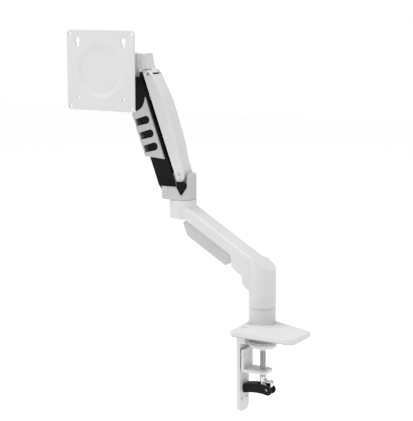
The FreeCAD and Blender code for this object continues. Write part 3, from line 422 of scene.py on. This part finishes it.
def soften(twin, width, segments=2):
    """Bevel every sharp edge; width is the edge's size in metres."""
    edge = twin.modifiers.new("edge", "BEVEL")
    edge.width = width
    edge.segments = segments
    edge.limit_method = "ANGLE"
    edge.angle_limit = math.radians(EDGE_ANGLE)
    apply_modifier(twin, "edge")
    bpy.ops.object.shade_smooth_by_angle(angle=math.radians(SMOOTH_ANGLE))
    flats = twin.modifiers.new("flats", "WEIGHTED_NORMAL")
    flats.keep_sharp = True
    apply_modifier(twin, "flats")


# %% The twins, part by part
edge_of = {
    "base_plate": 0.0005, "column_boss": 0.0004, "clamp_block": 0.0008,
    "clamp_back_plate": 0.0006, "clamp_jaw": 0.0006, "lower_arm": 0.0009,
    "cable_cover": 0.0009, "elbow_knuckle": 0.0008, "upper_shell": 0.0008,
    "lower_shell": 0.0006, "cable_comb": 0.0008, "screen_plate": 0.0005,
}
for part, width in edge_of.items():
    twin = merged_copy(part, part + "_soft")
    soften(twin, width)
    settle(twin, part)
    print(part, "twin has", len(twin.data.polygons), "faces")

# %% [markdown]
# ## The pressed dish
# The plate is one pressed sheet with a round dish in its middle. Soft light from all round
# hides a shallow dish, so the twin's dish is pressed deeper from the front. Every point
# between the front face and the dish's floor moves back in proportion, which keeps the
# slope's shape.

# %% Press the dish deeper
DEEPER = 1.45
FACE_SKIN = 0.00001
DISH_FLOOR = 0.0017

plate = bpy.data.objects["screen_plate_soft"]
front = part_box("screen_plate")[0][1]
for spot in plate.data.vertices:
    depth = spot.co.y - front
    if FACE_SKIN < depth < DISH_FLOOR:
        spot.co.y = front + depth * DEEPER
print("dish deepened behind a front face at", round(front, 4))

# %% [markdown]
# ## Low fasteners
# The jaw's bolts and the nut's flange lie almost flush in the real clamp. Their twins keep
# the frame's places and lengths inside the metal, and what stands proud is pressed down to a
# thin rim. They are painted over with the clamp.

# %% Jaw bolts and nut
HEAD_RIM = 0.0007
TIP_REACH = 0.0042
FLANGE = 0.003
FLANGE_RIM = 0.0005


def corners(part):
    """The lowest and the highest corner of a frame part, as vectors."""
    low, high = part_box(part)
    return Vector(low), Vector(high)


bolt_low = corners("clamp_back_plate")[0].x - HEAD_RIM
bolt_high = corners("clamp_jaw")[0].x + TIP_REACH
bolts = merged_copy("jaw_bolts", "jaw_bolts_low")
for spot in bolts.data.vertices:
    spot.co.x = min(max(spot.co.x, bolt_low), bolt_high)
settle(bolts, "jaw_bolts")

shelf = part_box("jaw_nut")[1][2] - FLANGE
nut = merged_copy("jaw_nut", "jaw_nut_low")
for spot in nut.data.vertices:
    spot.co.z = min(spot.co.z, shelf + FLANGE_RIM)
settle(nut, "jaw_nut")

for piece in (bolts, nut):
    coat(piece, "white_paint")
print("bolts from", round(bolt_low, 4), "to", round(bolt_high, 4))
print("nut's rim just above", round(shelf, 4))

# %% [markdown]
# ## The handle
# The handle is a moulded bar, forked at its pivot end so that the wire yoke can reach down
# into it. The bar is the frame's own, made a little wider. The fork is cut out with a block
# that leaves it open at the top, the end and the bottom, so that the handle can fold.

# %% The forked bar
WIDER = 1.36
FORK_SLOT = (0.035, 0.0084, 0.020)
FORK_AHEAD = 0.0025
FORK_ABOVE = 0.001

pin_low, pin_high = corners("handle_pin")
pin = (pin_low + pin_high) / 2


def widen(piece, times):
    """Stretch a piece across the arm, about the middle of the handle's pin."""
    for spot in piece.data.vertices:
        spot.co.y = pin.y + (spot.co.y - pin.y) * times


bar = merged_copy("clamp_handle", "clamp_handle_bar")
widen(bar, WIDER)
bpy.ops.object.select_all(action="DESELECT")
bpy.ops.mesh.primitive_cube_add(
    size=1.0, location=(pin.x + FORK_AHEAD, pin.y, pin.z + FORK_ABOVE))
block = bpy.context.active_object
block.scale = FORK_SLOT
slot_cut = bar.modifiers.new("slot", "BOOLEAN")
slot_cut.operation = "DIFFERENCE"
slot_cut.object = block
slot_cut.solver = "EXACT"
apply_modifier(bar, "slot")
bpy.data.objects.remove(block)
soften(bar, 0.0009)
settle(bar, "clamp_handle")
print("handle bar:", len(bar.data.polygons), "faces")

# %% [markdown]
# ## The bent-wire yoke
# The yoke is bright wire, bent round the pin and held in a short stem on the screw's end. A
# curve with a round bevel is the natural way to bend a wire, because the bends can be moved
# without spoiling its thickness. Each of the two wires is one closed loop over the same
# bends, to the left and to the right of the middle.

# %% The two wires
WIRE = 0.0015
WIRE_APART = 0.0021

screw_low, screw_high = corners("clamp_screw")
axis_x = (screw_low.x + screw_high.x) / 2
stem_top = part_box("handle_yoke")[1][2] - 0.001
bends = [
    (pin.x, pin.z),
    (pin.x - 0.0085, pin.z + 0.007),
    (axis_x - 0.001, pin.z + 0.011),
    (axis_x + 0.002, stem_top - 0.004),
    (axis_x + 0.006, pin.z + 0.0105),
    (pin.x + 0.002, pin.z + 0.0105),
    (pin.x + 0.0055, pin.z + 0.013),
    (pin.x + 0.007, pin.z + 0.0075),
    (pin.x, pin.z),
]
wires = []
for side in (-1, 1):
    line = bpy.data.curves.new("yoke_wire", "CURVE")
    line.dimensions = "3D"
    line.bevel_depth = WIRE
    line.bevel_resolution = 4
    path = line.splines.new("NURBS")
    path.points.add(len(bends) - 1)
    for point, (x, z) in zip(path.points, bends):
        point.co = (x, pin.y + side * WIRE_APART, z, 1.0)
    path.order_u = 3
    path.use_cyclic_u = True
    only(add_to_scene("yoke_wire", line))
    bpy.ops.object.convert(target="MESH")
    wires.append(bpy.context.active_object)
print("wires:", len(wires), "with", len(bends), "bends each")

# %% The stem, joined to the wires
STEM_R = 0.0042
STEM_TALL = 0.009
STEM_EDGE = 0.0012

bpy.ops.object.select_all(action="DESELECT")
bpy.ops.mesh.primitive_cylinder_add(
    vertices=40, radius=STEM_R, depth=STEM_TALL, location=(0.0, 0.0, 0.0))
stem = bpy.context.active_object
open_edit(stem)
bpy.ops.mesh.bevel(offset=STEM_EDGE, segments=3)
close_edit(outward=False)
stem.data.transform(Matrix.Translation((axis_x, pin.y, stem_top - STEM_TALL / 2)))
for wire in wires:
    wire.select_set(True)
bpy.ops.object.join()
stem.name = "handle_yoke_wire"
bpy.ops.object.shade_smooth_by_angle(angle=math.radians(35.0))
settle(stem, "handle_yoke")
print("yoke:", len(stem.data.polygons), "faces")

# %% [markdown]
# ## A shorter pin
# The pin holds the handle to the yoke. Its ends are lost in the moulding of a real handle, so
# the frame's pin is squeezed to half its length and stays inside the fork.

# %% The pin
short = merged_copy("handle_pin", "handle_pin_short")
widen(short, 0.5)
settle(short, "handle_pin")
print("pin:", len(short.data.polygons), "faces")

# %% [markdown]
# ## The head's neck
# A white neck covers the levelled casting behind the plate. It is a twin like the others, but
# stands in full view beside the plate, so its edges get one more segment.

# %% The neck
neck = merged_copy("head_link_cover", "head_link_neck")
soften(neck, 0.0006, segments=3)
settle(neck, "head_link_cover")
print("neck:", len(neck.data.polygons), "faces")

# %% [markdown]
# ## The casting inside it
# The casting is coated black where it sits in the joint and painted white where it stands up
# into the neck. A thin gusset stiffens it beside the pivot and closes the view through the
# joint. The gusset is drawn as one flat side outline and extruded, because its shape is all
# in that outline. The casting is then cut along the paint's edge, so that the two colours
# meet in a straight line.


# %% A prism from a side outline
def prism(name, outline, half):
    """Extrude a side outline of (x, z) corners to both sides of the arm's mid plane."""
    mesh = bpy.data.meshes.new(name)
    mesh.from_pydata([(x, -half, z) for x, z in outline], [], [tuple(range(len(outline)))])
    body = add_to_scene(name, mesh)
    open_edit(body)
    bpy.ops.mesh.extrude_region_move(TRANSFORM_OT_translate={"value": (0.0, 2 * half, 0.0)})
    close_edit()
    return body


# %% The casting and its gusset
GUSSET_HALF = 0.003
GUSSET_CORNERS = [
    (-0.0205, -0.005), (-0.0105, -0.005), (-0.0105, 0.0062),
    (-0.0166, 0.0062), (-0.0190, 0.0050), (-0.0204, 0.0018),
]

pivot_low, pivot_high = corners("head_pivot_pin")
pivot_x = (pivot_low.x + pivot_high.x) / 2
pivot_z = (pivot_low.z + pivot_high.z) / 2
gusset = prism("gusset", [(pivot_x + x, pivot_z + z) for x, z in GUSSET_CORNERS], GUSSET_HALF)
casting = merged_copy("head_link", "head_link_casting")
only(casting)
gusset.select_set(True)
bpy.ops.object.join()
soften(casting, 0.0005)
print("casting and gusset:", len(casting.data.polygons), "faces")

# %% The edge of the paint
paint_line = pivot_z + 0.0018
open_edit(casting)
bpy.ops.mesh.bisect(plane_co=(0.0, 0.0, paint_line), plane_no=(0.0, 0.0, 1.0))
close_edit(outward=False)
coat(casting, slot_of["head_link"], "white_paint")
for face in casting.data.polygons:
    face.material_index = 1 if face.center.z > paint_line else 0
settle(casting, "head_link")
print("painted white above", round(paint_line, 4))

# %% [markdown]
# ## A real thread on the clamp screw
# The screw stands in plain view under the clamp, and grooves that are only painted on a smooth
# rod would look flat. One tooth is drawn as a short zigzag beside the axis, and a Screw
# modifier sweeps it up the rod, one pitch for each turn. The open ends are then closed.

# %% The thread
PITCH = 0.00125
CREST, ROOT, BALL = 0.004, 0.0033, 0.005
TURN_STEPS = 24

axis_y = (screw_low.y + screw_high.y) / 2
turns = int((screw_high.z - 2 * BALL - screw_low.z) / PITCH)
zigzag = [(ROOT, 0.0), (CREST, PITCH * 0.42), (CREST, PITCH * 0.58), (ROOT, PITCH)]
tooth = bpy.data.meshes.new("clamp_screw_thread")
tooth.from_pydata([(r, 0.0, z) for r, z in zigzag], [(0, 1), (1, 2), (2, 3)], [])
screw = add_to_scene("clamp_screw_thread", tooth)
sweep = screw.modifiers.new("sweep", "SCREW")
sweep.axis = "Z"
sweep.angle = 2 * math.pi
sweep.screw_offset = PITCH
sweep.iterations = turns
sweep.steps = TURN_STEPS
sweep.render_steps = TURN_STEPS
sweep.use_merge_vertices = True
apply_modifier(screw, "sweep")
open_edit(screw)
bpy.ops.mesh.remove_doubles(threshold=0.00001)
bpy.ops.mesh.select_all(action="DESELECT")
bpy.ops.mesh.select_non_manifold()
bpy.ops.mesh.fill()
close_edit()
screw.data.transform(Matrix.Translation((axis_x, axis_y, screw_low.z)))
print("thread:", turns, "turns,", len(screw.data.polygons), "faces")

# %% [markdown]
# ## The screw's neck and ball
# The thread ends in a plain ball that swivels in the pressure disc, so that the disc stays
# flat on the desk. It starts as a sphere, is cut flat underneath, and the cut's rim is drawn
# down as a short neck that meets the thread.

# %% The neck and ball
BALL_CUT = -0.0036
NECK = 0.003

bpy.ops.object.select_all(action="DESELECT")
bpy.ops.mesh.primitive_uv_sphere_add(
    segments=32, ring_count=16, radius=BALL, location=(0.0, 0.0, 0.0))
ball = bpy.context.active_object
open_edit(ball)
bpy.ops.mesh.bisect(plane_co=(0.0, 0.0, BALL_CUT), plane_no=(0.0, 0.0, 1.0), clear_inner=True)
bpy.ops.mesh.edge_face_add()
bpy.ops.mesh.extrude_region_move(TRANSFORM_OT_translate={"value": (0.0, 0.0, -NECK)})
close_edit()
ball.data.transform(Matrix.Translation((axis_x, axis_y, screw_high.z - BALL)))
only(screw)
ball.select_set(True)
bpy.ops.object.join()
bpy.ops.object.shade_smooth_by_angle(angle=math.radians(25.0))
coat(screw, "thread_steel")
settle(screw, "clamp_screw")
print("clamp screw:", len(screw.data.polygons), "faces")
